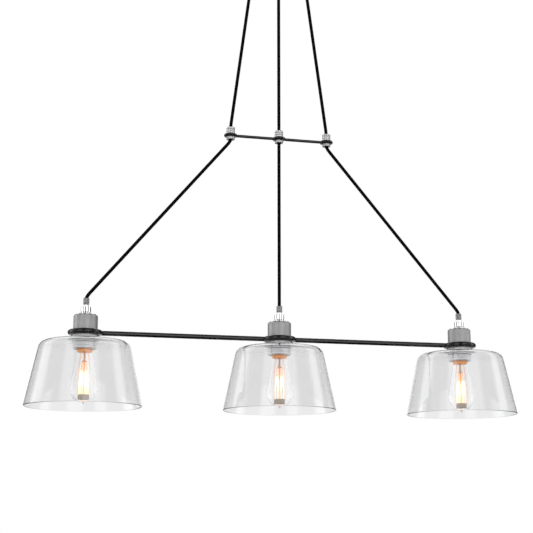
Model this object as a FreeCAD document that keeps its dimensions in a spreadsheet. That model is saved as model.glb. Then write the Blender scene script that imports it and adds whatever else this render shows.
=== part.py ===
import FreeCAD, Part
import math
import os
from types import SimpleNamespace

import Sketcher

# A linear island pendant. Three clear glass shades stand in line under one hammered bar. The bar
# and its sockets hang on three cords. A thin spreader bar holds the cords apart, and above it they
# draw together into a round ceiling canopy.
#
# Frame: millimetres, +Z up, the bar along X. The origin is the centre of the canopy's ceiling
# face, so everything hangs below z = 0. Heights are written as drops below the ceiling, or as
# rises above and drops below the centre line of the lamp bar.

SIZES = {
    # the hanging layout
    "lamp_spacing": 377.0,
    "spreader_spacing": 100.0,
    "canopy_cord_inset": 22.0,
    "canopy_mouth_drop": 45.0,
    "spreader_drop": 385.0,
    "lamp_bar_drop": 795.0,
    # cords and the mouths they leave from
    "cord_diameter": 6.2,
    "cord_clearance": 0.3,
    "mouth_flare": 1.6,
    "wire_bore_diameter": 4.8,
    # ceiling canopy
    "canopy_diameter": 160.0,
    "canopy_height": 25.0,
    "canopy_wall": 1.5,
    "canopy_shoulder": 8.0,
    # crossbar under the ceiling box
    "crossbar_end_gap": 11.5,
    "crossbar_width": 20.0,
    "crossbar_thickness": 2.0,
    "crossbar_slot_spacing": 79.4,
    "crossbar_slot_length": 14.5,
    "crossbar_slot_width": 4.5,
    "canopy_screw_inset": 11.0,
    "canopy_screw_diameter": 4.0,
    "canopy_screw_knob_diameter": 11.0,
    "canopy_screw_knob_height": 7.0,
    "screw_hole_clearance": 0.2,
    "ground_screw_diameter": 4.0,
    "ground_screw_head_diameter": 8.0,
    "ground_screw_head_height": 3.0,
    "ground_screw_length": 8.0,
    "ground_screw_offset": 18.0,
    # cord grips at the canopy
    "canopy_grip_diameter": 16.0,
    "canopy_grip_collar_height": 4.0,
    "canopy_grip_body_diameter": 13.0,
    "grip_thread_diameter": 10.0,
    "grip_thread_rise": 8.0,
    "grip_hole_clearance": 0.2,
    "locknut_diameter": 16.0,
    "locknut_height": 4.0,
    "thread_clearance": 0.1,
    # spreader bar with its eyes, ferrules and nuts
    "spreader_bar_diameter": 5.0,
    "eye_wire_diameter": 5.4,
    "eye_clearance": 0.3,
    "ferrule_diameter": 17.0,
    "ferrule_height": 14.0,
    "ferrule_waist_diameter": 14.4,
    "ferrule_groove_depth": 0.8,
    "ferrule_groove_width": 1.3,
    "ferrule_nut_height": 6.0,
    "ferrule_edge_round": 1.0,
    # lamp bar
    "lamp_bar_diameter": 9.4,
    "ring_wire_diameter": 9.8,
    "ring_clearance": 0.3,
    "ring_seat_gap": 0.2,
    # cord grip on top of each socket
    "lamp_mouth_rise": 66.0,
    "lamp_grip_diameter": 11.6,
    "lamp_grip_height": 13.0,
    "lamp_grip_band_height": 1.6,
    "lamp_grip_band_depth": 0.7,
    "nipple_diameter": 8.0,
    "nipple_clearance": 0.2,
    # chrome cap of each socket
    "cap_neck_diameter": 10.4,
    "cap_neck_height": 4.4,
    "cap_step_diameter": 19.0,
    "cap_step_height": 9.6,
    "cap_dome_diameter": 39.2,
    "cap_dome_height": 4.6,
    "cap_dome_edge": 1.4,
    # grey cup of each socket
    "cup_gap": 0.9,
    "cup_wall": 2.0,
    "cup_shoulder": 2.5,
    "cup_top_hole_diameter": 24.0,
    "cup_flange_reach": 2.6,
    "cup_flange_drop": 13.5,
    "cup_flange_chamfer": 1.2,
    # lampholder inside the cup
    "lampholder_diameter": 40.0,
    "lampholder_top_rise": 16.0,
    "lampholder_mouth_drop": 32.0,
    "lampholder_boss_depth": 8.0,
    "lampholder_mouth_flare": 2.0,
    "shell_wall": 0.6,
    "shell_fit": 0.1,
    # screw-in lamp base, the common 26 mm size
    "base_diameter": 26.0,
    "base_shell_clearance": 0.3,
    "base_length": 23.4,
    "base_wall": 0.8,
    "base_thread_depth": 0.8,
    "base_thread_pitch": 3.62,
    "base_rim_diameter": 27.2,
    "base_rim_height": 2.0,
    "contact_diameter": 9.0,
    "contact_height": 3.4,
    "insulator_diameter": 20.0,
    "insulator_height": 1.6,
    "contact_gap": 0.3,
    # glass bulb
    "bulb_neck_diameter": 27.4,
    "bulb_plug_gap": 0.2,
    "bulb_plug_height": 5.0,
    "bulb_neck_drop": 34.6,
    "bulb_diameter": 52.0,
    "bulb_centre_drop": 105.6,
    "bulb_wall": 1.0,
    "bulb_tip_diameter": 4.4,
    "bulb_tip_length": 3.2,
    # filament mount inside the bulb
    "stem_flare_gap": 0.3,
    "stem_flare_height": 2.0,
    "stem_diameter": 6.0,
    "stem_length": 22.0,
    "mast_diameter": 1.6,
    "hub_diameter": 9.0,
    "hub_height": 1.6,
    "holder_diameter": 21.0,
    "holder_height": 9.0,
    "holder_wall": 0.8,
    "holder_drop": 117.0,
    "filament_diameter": 0.9,
    # glass shade
    "shade_rim_diameter": 220.0,
    "shade_top_diameter": 168.0,
    "shade_height": 125.5,
    "shade_crown_drop": 4.0,
    "shade_flat_margin": 1.5,
    "shade_wall": 3.0,
    "shade_shoulder": 16.0,
    "shade_rim_round": 1.2,
    "shade_hole_clearance": 0.5,
    # threaded ring that clamps the shade
    "shade_ring_wall": 3.1,
    "shade_ring_height": 15.0,
    "shade_ring_clearance": 0.3,
    "shade_ring_groove_depth": 0.7,
    "shade_ring_groove_width": 1.6,
}

SIDES = {"left": -1, "centre": 0, "right": 1}
FERRULE_GROOVES = 4
SHADE_RING_GROOVES = 2
BASE_THREADS = 5
FILAMENTS = 8


class Size:
    """A length that carries its number and the expression that binds it to the sheet."""

    def __init__(self, value, text=None):
        self.value = float(value)
        self.text = text or repr(float(value))

    def __add__(self, other):
        other = as_size(other)
        return Size(self.value + other.value, f"({self.text} + {other.text})")

    def __sub__(self, other):
        other = as_size(other)
        return Size(self.value - other.value, f"({self.text} - {other.text})")

    def __mul__(self, other):
        other = as_size(other)
        return Size(self.value * other.value, f"({self.text} * {other.text})")

    def __truediv__(self, other):
        other = as_size(other)
        return Size(self.value / other.value, f"({self.text} / {other.text})")

    def __neg__(self):
        return Size(-self.value, f"(-{self.text})")

    def root(self):
        return Size(math.sqrt(self.value), f"sqrt({self.text})")


def as_size(number):
    return number if isinstance(number, Size) else Size(number)


doc = FreeCAD.newDocument("island_pendant")
sheet = doc.addObject("Spreadsheet::Sheet", "Sizes")
for row, (alias, number) in enumerate(SIZES.items(), 1):
    sheet.set(f"A{row}", alias)
    sheet.set(f"B{row}", str(number))
    sheet.setAlias(f"B{row}", alias)
doc.recompute()

mm = SimpleNamespace(**{alias: Size(sheet.get(alias), f"Sizes.{alias}") for alias in SIZES})
ZERO = Size(0.0)
parts = []


# ---------------------------------------------------------------------------------------------
# Ways of making a piece
# ---------------------------------------------------------------------------------------------

def keep(piece, label):
    """Give a finished piece its name and put it on the list of sub-parts."""
    piece.Label = label
    parts.append(piece)
    return piece


def place(piece, across=ZERO, deep=ZERO, high=ZERO):
    """Put a piece at its place, bound to the sheet."""
    for axis, size in (("x", across), ("y", deep), ("z", high)):
        piece.setExpression(f"Placement.Base.{axis}", as_size(size).text)
    return piece


def pin_coordinate(sketch, kind, geometry, point, size):
    """Hold one coordinate of a sketch point at a size, or on the axis where it is nothing."""
    axis = -2 if kind == "DistanceX" else -1
    if size.value == 0.0:
        sketch.addConstraint(Sketcher.Constraint("PointOnObject", geometry, point, axis))
        return
    held = Sketcher.Constraint(kind, -1, 1, geometry, point, size.value)
    index = sketch.addConstraint(held)
    sketch.setExpression(f"Constraints[{index}]", size.text)


def arc_edge(start, end, centre):
    """An arc about a centre, with the numbers of its start and end points in the sketch."""
    first = math.atan2(start.y - centre.y, start.x - centre.x)
    last = math.atan2(end.y - centre.y, end.x - centre.x)
    circle = Part.Circle(centre, FreeCAD.Vector(0, 0, 1), start.distanceToPoint(centre))
    turn = (last - first) % (2 * math.pi)
    if turn <= math.pi:
        return Part.ArcOfCircle(circle, first, first + turn), 1, 2
    return Part.ArcOfCircle(circle, last, last + 2 * math.pi - turn), 2, 1


def turned(name, outline):
    """Turn a closed outline about Z. A corner is (radius, height), both sizes from the sheet.
    A corner that ends an arc also gives the arc's centre: (radius, height, (radius, height))."""
    corners = [tuple(as_size(size) for size in corner[:2]) for corner in outline]
    centres = [corner[2] if len(corner) > 2 else None for corner in outline]
    points = [FreeCAD.Vector(radius.value, height.value, 0) for radius, height in corners]
    body = doc.addObject("PartDesign::Body", name)
    sketch = body.newObject("Sketcher::SketchObject", f"{name}_outline")
    plane = next(each for each in body.Origin.OriginFeatures if each.Role == "XZ_Plane")
    sketch.AttachmentSupport = (plane, [""])
    sketch.MapMode = "FlatFace"
    count = len(points)
    edges = []
    for index in range(count):
        after = (index + 1) % count
        start_point, end_point = 1, 2
        if centres[after] is None:
            edge = Part.LineSegment(points[index], points[after])
        else:
            centre = tuple(as_size(size) for size in centres[after])
            middle = FreeCAD.Vector(centre[0].value, centre[1].value, 0)
            edge, start_point, end_point = arc_edge(points[index], points[after], middle)
        edges.append((sketch.addGeometry(edge, False), start_point, end_point))
        if centres[after] is not None:
            pin_coordinate(sketch, "DistanceX", edges[-1][0], 3, centre[0])
            pin_coordinate(sketch, "DistanceY", edges[-1][0], 3, centre[1])
    for index, (radius, height) in enumerate(corners):
        geometry, start_point, _ = edges[index]
        before, _, end_point = edges[index - 1]
        joined = Sketcher.Constraint("Coincident", before, end_point, geometry, start_point)
        sketch.addConstraint(joined)
        held_across, held_up = True, True
        if centres[index] is not None:
            middle = [as_size(size).value for size in centres[index]]
            level = abs(radius.value - middle[0]) > abs(height.value - middle[1])
            held_across, held_up = not level, level
        if held_across:
            pin_coordinate(sketch, "DistanceX", geometry, start_point, radius)
        if held_up:
            pin_coordinate(sketch, "DistanceY", geometry, start_point, height)
    revolution = body.newObject("PartDesign::Revolution", f"{name}_turned")
    revolution.Profile = sketch
    revolution.ReferenceAxis = (sketch, ["V_Axis"])
    revolution.Angle = 360.0
    sketch.Visibility = False
    body.Tip = revolution
    doc.recompute()
    return body


def rounded(body, radius, *circles):
    """Round the circular edges of a turned body that have these radii and heights."""
    names = []
    base = body.Tip
    for index, edge in enumerate(base.Shape.Edges, 1):
        if not isinstance(edge.Curve, Part.Circle):
            continue
        for across, height in circles:
            near_radius = abs(edge.Curve.Radius - as_size(across).value) < 1e-4
            if near_radius and abs(edge.Curve.Center.z - as_size(height).value) < 1e-4:
                names.append(f"Edge{index}")
    fillet = body.newObject("PartDesign::Fillet", f"{body.Name}_round")
    fillet.Base = (base, names)
    fillet.Radius = radius.value
    fillet.setExpression("Radius", radius.text)
    body.Tip = fillet
    doc.recompute()
    return body


def cylinder(name, diameter, height, across=ZERO, deep=ZERO, high=ZERO):
    piece = doc.addObject("Part::Cylinder", name)
    piece.setExpression("Radius", (diameter / 2).text)
    piece.setExpression("Height", as_size(height).text)
    return place(piece, across, deep, high)


def rod(name, diameter, start, length, high):
    """A round bar along X from its start point."""
    piece = cylinder(name, diameter, length, start, ZERO, high)
    piece.Placement.Rotation = FreeCAD.Rotation(FreeCAD.Vector(0, 1, 0), 90)
    return piece


def block(name, long_x, long_y, long_z, across, deep, high):
    piece = doc.addObject("Part::Box", name)
    for side, size in (("Length", long_x), ("Width", long_y), ("Height", long_z)):
        piece.setExpression(side, as_size(size).text)
    return place(piece, across, deep, high)


def torus(name, ring_radius, wire_diameter, across, high):
    piece = doc.addObject("Part::Torus", name)
    piece.setExpression("Radius1", ring_radius.text)
    piece.setExpression("Radius2", (wire_diameter / 2).text)
    return place(piece, across, ZERO, high)


def joined(name, pieces):
    union = doc.addObject("Part::MultiFuse", name)
    union.Shapes = pieces
    return union


def cut(name, base, tool):
    piece = doc.addObject("Part::Cut", name)
    piece.Base = base
    piece.Tool = tool
    return piece


# ---------------------------------------------------------------------------------------------
# Sizes that follow from the sheet
# ---------------------------------------------------------------------------------------------

cord_radius = mm.cord_diameter / 2
mouth_radius = cord_radius + mm.cord_clearance
flare_radius = mouth_radius + mm.mouth_flare
wire_bore = mm.wire_bore_diameter / 2

canopy_floor = mm.canopy_height - mm.canopy_wall
canopy_inside = mm.canopy_diameter / 2 - mm.canopy_wall
canopy_cord_spacing = mm.canopy_diameter / 2 - mm.canopy_cord_inset
crossbar_length = (canopy_inside - mm.crossbar_end_gap) * 2
canopy_screw_place = crossbar_length / 2 - mm.canopy_screw_inset
bar_level = -mm.lamp_bar_drop
lamp_mouth_level = bar_level + mm.lamp_mouth_rise
spreader_level = -mm.spreader_drop
ferrule_top_rise = mm.eye_wire_diameter / 2 + mm.ferrule_height
ferrule_foot_drop = mm.eye_wire_diameter / 2 + mm.ferrule_nut_height
ferrule_mouth_level = spreader_level + ferrule_top_rise
ferrule_foot_level = spreader_level - ferrule_foot_drop

holder_radius = mm.lampholder_diameter / 2
cup_inside = holder_radius + mm.cup_gap
cup_radius = cup_inside + mm.cup_wall
flange_radius = cup_radius + mm.cup_flange_reach
ring_wire = mm.ring_wire_diameter / 2
ring_radius = cup_radius + mm.ring_clearance + ring_wire
cup_top_rise = (
    mm.lamp_mouth_rise - mm.lamp_grip_height - mm.cap_neck_height
    - mm.cap_step_height - mm.cap_dome_height - mm.cap_dome_edge
)
shade_under_drop = mm.cup_flange_drop + mm.shade_wall
base_top_drop = mm.bulb_neck_drop - mm.base_length
contact_top_drop = base_top_drop - mm.insulator_height - mm.contact_height
shell_radius = mm.base_diameter / 2 + mm.base_shell_clearance
base_root = mm.base_diameter / 2 - mm.base_thread_depth
base_inside = base_root - mm.base_wall
plug_radius = base_inside - mm.bulb_plug_gap


def lamp_place(side):
    return mm.lamp_spacing * SIDES[side]


# ---------------------------------------------------------------------------------------------
# Ceiling canopy, its crossbar and screws
# ---------------------------------------------------------------------------------------------

def make_canopy():
    """A pressed dish, open to the ceiling, with holes for three cord grips and two screws."""
    radius = mm.canopy_diameter / 2
    dish = turned("canopy_dish", [
        (ZERO, ZERO), (radius, ZERO), (radius, mm.canopy_height),
        (canopy_inside, mm.canopy_height), (canopy_inside, mm.canopy_wall),
        (ZERO, mm.canopy_wall),
    ])
    rounded(dish, mm.canopy_shoulder - mm.canopy_wall, (canopy_inside, mm.canopy_wall))
    rounded(dish, mm.canopy_shoulder, (radius, ZERO))
    place(dish, high=-mm.canopy_height)
    grip_hole = mm.grip_thread_diameter + mm.grip_hole_clearance * 2
    holes = [
        cylinder(f"canopy_hole_{side}", grip_hole, mm.canopy_height,
                 canopy_cord_spacing * way, ZERO, -mm.canopy_height * 1.5)
        for side, way in SIDES.items()
    ]
    screw_hole = mm.canopy_screw_diameter + mm.screw_hole_clearance * 2
    holes += [
        cylinder(f"canopy_screw_hole_{name}", screw_hole, mm.canopy_height,
                 ZERO, canopy_screw_place * way, -mm.canopy_height * 1.5)
        for name, way in (("front", -1), ("back", 1))
    ]
    keep(cut("canopy_cut", dish, joined("canopy_holes", holes)), "ceiling_canopy")


def make_crossbar():
    """A flat strap against the ceiling box, with two slots for its screws."""
    strap = block("crossbar_strap", mm.crossbar_width, crossbar_length,
                  mm.crossbar_thickness, -mm.crossbar_width / 2, -crossbar_length / 2,
                  -mm.crossbar_thickness)
    through = mm.crossbar_thickness * 3
    level = -mm.crossbar_thickness * 2
    slot_reach = (mm.crossbar_slot_length - mm.crossbar_slot_width) / 2
    tools = []
    for name, way in (("front", -1), ("back", 1)):
        middle = mm.crossbar_slot_spacing / 2 * way
        for end, shift in (("near", -1), ("far", 1)):
            tools.append(cylinder(f"slot_{name}_{end}", mm.crossbar_slot_width, through,
                                  ZERO, middle + slot_reach * shift, level))
        tools.append(block(f"slot_{name}", mm.crossbar_slot_width, slot_reach * 2, through,
                           -mm.crossbar_slot_width / 2, middle - slot_reach, level))
        screw_hole = mm.canopy_screw_diameter + mm.thread_clearance * 2
        tools.append(cylinder(f"strap_hole_{name}", screw_hole, through,
                              ZERO, canopy_screw_place * way, level))
    ground_hole = mm.ground_screw_diameter + mm.thread_clearance * 2
    tools.append(cylinder("ground_hole", ground_hole, through,
                          ZERO, mm.ground_screw_offset, level))
    keep(cut("crossbar_cut", strap, joined("crossbar_tools", tools)), "mounting_crossbar")


def make_canopy_screws():
    """Knob screws that hold the canopy up: the knob under the canopy, the shank in the strap."""
    knob = mm.canopy_screw_knob_diameter / 2
    shank = mm.canopy_screw_diameter / 2
    length = mm.canopy_screw_knob_height + mm.canopy_height
    for name, way in (("front", -1), ("back", 1)):
        screw = turned(f"screw_{name}", [
            (ZERO, ZERO), (knob, ZERO), (knob, mm.canopy_screw_knob_height),
            (shank, mm.canopy_screw_knob_height), (shank, length), (ZERO, length),
        ])
        rounded(screw, mm.canopy_screw_knob_height / 4, (knob, ZERO))
        place(screw, ZERO, canopy_screw_place * way, -length)
        keep(screw, f"canopy_screw_{name}")


def make_ground_screw():
    """The earth screw under the strap, with its shank in the strap."""
    head = mm.ground_screw_head_diameter / 2
    shank = mm.ground_screw_diameter / 2
    length = mm.ground_screw_head_height + mm.crossbar_thickness
    screw = turned("ground_screw_body", [
        (ZERO, ZERO), (head, ZERO), (head, mm.ground_screw_head_height),
        (shank, mm.ground_screw_head_height), (shank, length), (ZERO, length),
    ])
    place(screw, ZERO, mm.ground_screw_offset, -length)
    keep(screw, "ground_screw")


def make_canopy_grips():
    """A cord grip under each canopy hole, and the locknut inside that clamps it."""
    collar = mm.canopy_grip_diameter / 2
    waist = mm.canopy_grip_body_diameter / 2
    thread = mm.grip_thread_diameter / 2
    body_height = mm.canopy_mouth_drop - mm.canopy_height
    top = body_height + mm.canopy_wall + mm.grip_thread_rise
    for side, way in SIDES.items():
        across = canopy_cord_spacing * way
        grip = turned(f"canopy_grip_body_{side}", [
            (flare_radius, ZERO), (waist, ZERO), (waist, body_height - mm.canopy_grip_collar_height),
            (collar, body_height - mm.canopy_grip_collar_height), (collar, body_height),
            (thread, body_height), (thread, top), (mouth_radius, top),
            (mouth_radius, mm.mouth_flare),
        ])
        place(grip, across, ZERO, -mm.canopy_mouth_drop)
        keep(grip, f"canopy_grip_{side}")
        nut = mm.locknut_diameter / 2
        bore = thread + mm.thread_clearance
        locknut = turned(f"locknut_body_{side}", [
            (bore, ZERO), (nut, ZERO), (nut, mm.locknut_height), (bore, mm.locknut_height),
        ])
        place(locknut, across, ZERO, -canopy_floor)
        keep(locknut, f"grip_locknut_{side}")


# ---------------------------------------------------------------------------------------------
# Cords
# ---------------------------------------------------------------------------------------------

def make_cord(label, top, bottom):
    """A taut cord, round at both ends, with its end centres in the mouths that hold it."""
    along = top - bottom
    run = FreeCAD.Vector(along)
    run.normalize()
    span = Size(along.Length)
    cord = turned(f"{label}_run", [
        (ZERO, ZERO),
        (cord_radius, cord_radius, (ZERO, cord_radius)),
        (cord_radius, cord_radius + span),
        (ZERO, cord_radius * 2 + span, (ZERO, cord_radius + span)),
    ])
    turn = FreeCAD.Rotation(FreeCAD.Vector(0, 0, 1), run)
    cord.Placement = FreeCAD.Placement(bottom - run * cord_radius.value, turn)
    keep(cord, label)
    section = math.pi * cord_radius.value ** 2
    expected = section * span.value + 4.0 / 3.0 * math.pi * cord_radius.value ** 3
    print(f"{label}: length {span.value:.1f} mm, volume {cord.Shape.Volume:.1f} mm3, "
          f"section times length and two half balls {expected:.1f} mm3, straight, no bend")


def make_cords():
    for side, way in SIDES.items():
        canopy_mouth = FreeCAD.Vector(canopy_cord_spacing.value * way, 0,
                                      -mm.canopy_mouth_drop.value)
        ferrule_mouth = FreeCAD.Vector(mm.spreader_spacing.value * way, 0,
                                       ferrule_mouth_level.value)
        ferrule_foot = FreeCAD.Vector(mm.spreader_spacing.value * way, 0,
                                      ferrule_foot_level.value)
        lamp_mouth = FreeCAD.Vector(mm.lamp_spacing.value * way, 0, lamp_mouth_level.value)
        make_cord(f"upper_cord_{side}", canopy_mouth, ferrule_mouth)
        make_cord(f"lower_cord_{side}", ferrule_foot, lamp_mouth)


# ---------------------------------------------------------------------------------------------
# Spreader bar, ferrules and nuts
# ---------------------------------------------------------------------------------------------

def make_spreader():
    """A thin forged bar with an eye round each cord's ferrule."""
    eye_wire = mm.eye_wire_diameter / 2
    eye_radius = mm.ferrule_waist_diameter / 2 + mm.eye_clearance + eye_wire
    pieces = [
        torus(f"eye_{side}", eye_radius, mm.eye_wire_diameter, mm.spreader_spacing * way,
              spreader_level)
        for side, way in SIDES.items()
    ]
    length = mm.spreader_spacing - eye_radius * 2
    for name, start in (("left", eye_radius - mm.spreader_spacing), ("right", eye_radius)):
        pieces.append(rod(f"spreader_rod_{name}", mm.spreader_bar_diameter, start, length,
                          spreader_level))
    keep(joined("spreader_union", pieces), "spreader_bar")


def make_ferrules():
    """A ribbed sleeve that grips the cord, its waist in the eye, and the nut that locks it."""
    outside = mm.ferrule_diameter / 2
    waist = mm.ferrule_waist_diameter / 2
    shoulder = ferrule_foot_drop + mm.eye_wire_diameter / 2
    top = ferrule_foot_drop + ferrule_top_rise
    groove_bottom = outside - mm.ferrule_groove_depth
    pitch = mm.ferrule_height / (FERRULE_GROOVES + 1)
    for side, way in SIDES.items():
        outline = [(flare_radius, ZERO), (waist, ZERO), (waist, shoulder), (outside, shoulder)]
        for number in range(1, FERRULE_GROOVES + 1):
            low = shoulder + pitch * number - mm.ferrule_groove_width / 2
            high = low + mm.ferrule_groove_width
            outline += [(outside, low), (groove_bottom, low), (groove_bottom, high),
                        (outside, high)]
        outline += [(outside, top), (flare_radius, top), (mouth_radius, top - mm.mouth_flare),
                    (mouth_radius, mm.mouth_flare)]
        across = mm.spreader_spacing * way
        ferrule = turned(f"ferrule_body_{side}", outline)
        rounded(ferrule, mm.ferrule_edge_round, (outside, top))
        place(ferrule, across, ZERO, ferrule_foot_level)
        keep(ferrule, f"cord_ferrule_{side}")
        bore = waist + mm.thread_clearance
        nut = turned(f"ferrule_nut_body_{side}", [
            (bore, ZERO), (outside, ZERO), (outside, mm.ferrule_nut_height),
            (bore, mm.ferrule_nut_height),
        ])
        rounded(nut, mm.ferrule_edge_round, (outside, ZERO), (outside, mm.ferrule_nut_height))
        place(nut, across, ZERO, ferrule_foot_level)
        keep(nut, f"ferrule_nut_{side}")


# ---------------------------------------------------------------------------------------------
# Lamp bar
# ---------------------------------------------------------------------------------------------

def make_lamp_bar():
    """A hammered round bar, welded to a ring round each socket cup."""
    pieces = [
        torus(f"ring_{side}", ring_radius, mm.ring_wire_diameter, lamp_place(side), bar_level)
        for side in SIDES
    ]
    length = mm.lamp_spacing - ring_radius * 2
    for name, start in (("left", ring_radius - mm.lamp_spacing), ("right", ring_radius)):
        pieces.append(rod(f"bar_rod_{name}", mm.lamp_bar_diameter, start, length, bar_level))
    keep(joined("lamp_bar_union", pieces), "lamp_bar")


# ---------------------------------------------------------------------------------------------
# Sockets
# ---------------------------------------------------------------------------------------------

def make_lamp_grip(side):
    """The cord grip on top, whose nipple runs down through the cap into the lampholder."""
    outside = mm.lamp_grip_diameter / 2
    nipple = mm.nipple_diameter / 2
    nipple_length = (
        mm.lamp_mouth_rise - mm.lamp_grip_height - mm.lampholder_top_rise
        + mm.lampholder_boss_depth
    )
    top = nipple_length + mm.lamp_grip_height
    band_top = nipple_length + mm.lamp_grip_band_height
    band = outside - mm.lamp_grip_band_depth
    grip = turned(f"lamp_grip_body_{side}", [
        (wire_bore, ZERO), (nipple, ZERO), (nipple, nipple_length), (band, nipple_length),
        (band, band_top), (outside, band_top), (outside, top), (flare_radius, top),
        (mouth_radius, top - mm.mouth_flare), (mouth_radius, band_top), (wire_bore, band_top),
    ])
    place(grip, lamp_place(side), ZERO, lamp_mouth_level - top)
    keep(grip, f"lamp_grip_{side}")


def make_socket_cap(side):
    """The turned cap: a neck, a step and a shallow dome that closes the cup."""
    neck = mm.cap_neck_diameter / 2
    step = mm.cap_step_diameter / 2
    dome = mm.cap_dome_diameter / 2
    bore = mm.nipple_diameter / 2 + mm.nipple_clearance
    dome_top = mm.cap_dome_edge + mm.cap_dome_height
    step_top = dome_top + mm.cap_step_height
    top = step_top + mm.cap_neck_height
    cap = turned(f"socket_cap_body_{side}", [
        (bore, ZERO), (dome, ZERO), (dome, mm.cap_dome_edge), (step, dome_top),
        (step, step_top), (neck, step_top), (neck, top), (bore, top),
    ])
    place(cap, lamp_place(side), ZERO, bar_level + cup_top_rise)
    keep(cap, f"socket_cap_{side}")


def make_socket_cup(side):
    """The straight cup. The bar's ring slides over it and rests on the cone above its flange."""
    hole = mm.cup_top_hole_diameter / 2
    half_turn = math.sqrt(0.5)
    reach = (ring_wire + mm.ring_seat_gap) * half_turn
    seat_radius = ring_radius - reach
    seat_height = mm.cup_flange_drop - reach
    height = mm.cup_flange_drop + cup_top_rise
    chamfer = mm.cup_flange_chamfer
    cup = turned(f"socket_cup_body_{side}", [
        (cup_inside, ZERO), (flange_radius - chamfer, ZERO), (flange_radius, chamfer),
        (flange_radius, seat_height - (flange_radius - seat_radius)),
        (cup_radius, seat_height + (seat_radius - cup_radius)), (cup_radius, height),
        (hole, height), (hole, height - mm.cup_wall), (cup_inside, height - mm.cup_wall),
    ])
    rounded(cup, mm.cup_shoulder, (cup_radius, height))
    place(cup, lamp_place(side), ZERO, bar_level - mm.cup_flange_drop)
    keep(cup, f"socket_cup_{side}")


def make_lampholder(side):
    """The moulded lampholder: a boss on the nipple, a bore for the shell, a threaded skirt."""
    bore = shell_radius + mm.shell_wall + mm.shell_fit
    nipple_bore = mm.nipple_diameter / 2 + mm.thread_clearance
    height = mm.lampholder_mouth_drop + mm.lampholder_top_rise
    boss = height - mm.lampholder_boss_depth
    ceiling = mm.lampholder_mouth_drop - contact_top_drop + mm.contact_gap
    body = turned(f"lampholder_body_{side}", [
        (bore + mm.lampholder_mouth_flare, ZERO), (holder_radius, ZERO),
        (holder_radius, height),
        (nipple_bore, height), (nipple_bore, boss), (wire_bore, boss), (wire_bore, ceiling),
        (bore, ceiling), (bore, mm.lampholder_mouth_flare),
    ])
    place(body, lamp_place(side), ZERO, bar_level - mm.lampholder_mouth_drop)
    keep(body, f"lampholder_{side}")


def make_screw_shell(side):
    """The metal shell in the lampholder that the bulb's base screws into."""
    outside = shell_radius + mm.shell_wall
    low = mm.lampholder_mouth_flare
    top = mm.lampholder_mouth_drop - contact_top_drop + mm.contact_gap
    contact_hole = mm.contact_diameter / 2 + mm.contact_gap
    ledge = top - mm.shell_wall
    shell = turned(f"screw_shell_body_{side}", [
        (shell_radius, low), (outside, low), (outside, top), (contact_hole, top),
        (contact_hole, ledge), (shell_radius, ledge),
    ])
    place(shell, lamp_place(side), ZERO, bar_level - mm.lampholder_mouth_drop)
    keep(shell, f"screw_shell_{side}")


# ---------------------------------------------------------------------------------------------
# Glass shade and its ring
# ---------------------------------------------------------------------------------------------

def make_shade(side):
    """A blown glass drum that widens down to an open rim, with a softly domed top."""
    hole = holder_radius + mm.shade_hole_clearance
    rim = mm.shade_rim_diameter / 2
    top = mm.shade_top_diameter / 2
    flat = flange_radius + mm.shade_flat_margin
    shoulder = mm.shade_height - mm.shade_crown_drop
    flare = (rim - top) / shoulder
    inner_top = top - mm.shade_wall + flare * mm.shade_wall
    shade = turned(f"shade_body_{side}", [
        (rim - mm.shade_wall, ZERO), (rim, ZERO), (top, shoulder), (flat, mm.shade_height),
        (hole, mm.shade_height), (hole, mm.shade_height - mm.shade_wall),
        (flat, mm.shade_height - mm.shade_wall), (inner_top, shoulder - mm.shade_wall),
    ])
    rounded(shade, mm.shade_shoulder - mm.shade_wall, (inner_top, shoulder - mm.shade_wall))
    rounded(shade, mm.shade_shoulder, (top, shoulder))
    rounded(shade, mm.shade_rim_round, (rim, ZERO), (rim - mm.shade_wall, ZERO))
    place(shade, lamp_place(side), ZERO, bar_level - mm.cup_flange_drop - mm.shade_height)
    keep(shade, f"shade_{side}")


def make_shade_ring(side):
    """The threaded ring under the glass, with grooves round its outside for the fingers."""
    bore = holder_radius + mm.shade_ring_clearance
    outside = bore + mm.shade_ring_wall
    groove_bottom = outside - mm.shade_ring_groove_depth
    pitch = mm.shade_ring_height / (SHADE_RING_GROOVES + 1)
    outline = [(bore, ZERO), (outside, ZERO)]
    for number in range(1, SHADE_RING_GROOVES + 1):
        low = pitch * number - mm.shade_ring_groove_width / 2
        high = low + mm.shade_ring_groove_width
        outline += [(outside, low), (groove_bottom, low), (groove_bottom, high), (outside, high)]
    outline += [(outside, mm.shade_ring_height), (bore, mm.shade_ring_height)]
    ring = turned(f"shade_ring_body_{side}", outline)
    place(ring, lamp_place(side), ZERO, bar_level - shade_under_drop - mm.shade_ring_height)
    keep(ring, f"shade_ring_{side}")


# ---------------------------------------------------------------------------------------------
# Bulb
# ---------------------------------------------------------------------------------------------

def make_bulb_contact(side):
    """The centre contact on its round insulator, at the top of the base."""
    contact = mm.contact_diameter / 2
    insulator = mm.insulator_diameter / 2
    top = mm.insulator_height + mm.contact_height
    piece = turned(f"bulb_contact_body_{side}", [
        (ZERO, ZERO), (insulator, ZERO), (contact, mm.insulator_height), (contact, top),
        (ZERO, top),
    ])
    place(piece, lamp_place(side), ZERO, bar_level - base_top_drop)
    keep(piece, f"bulb_contact_{side}")


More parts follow.
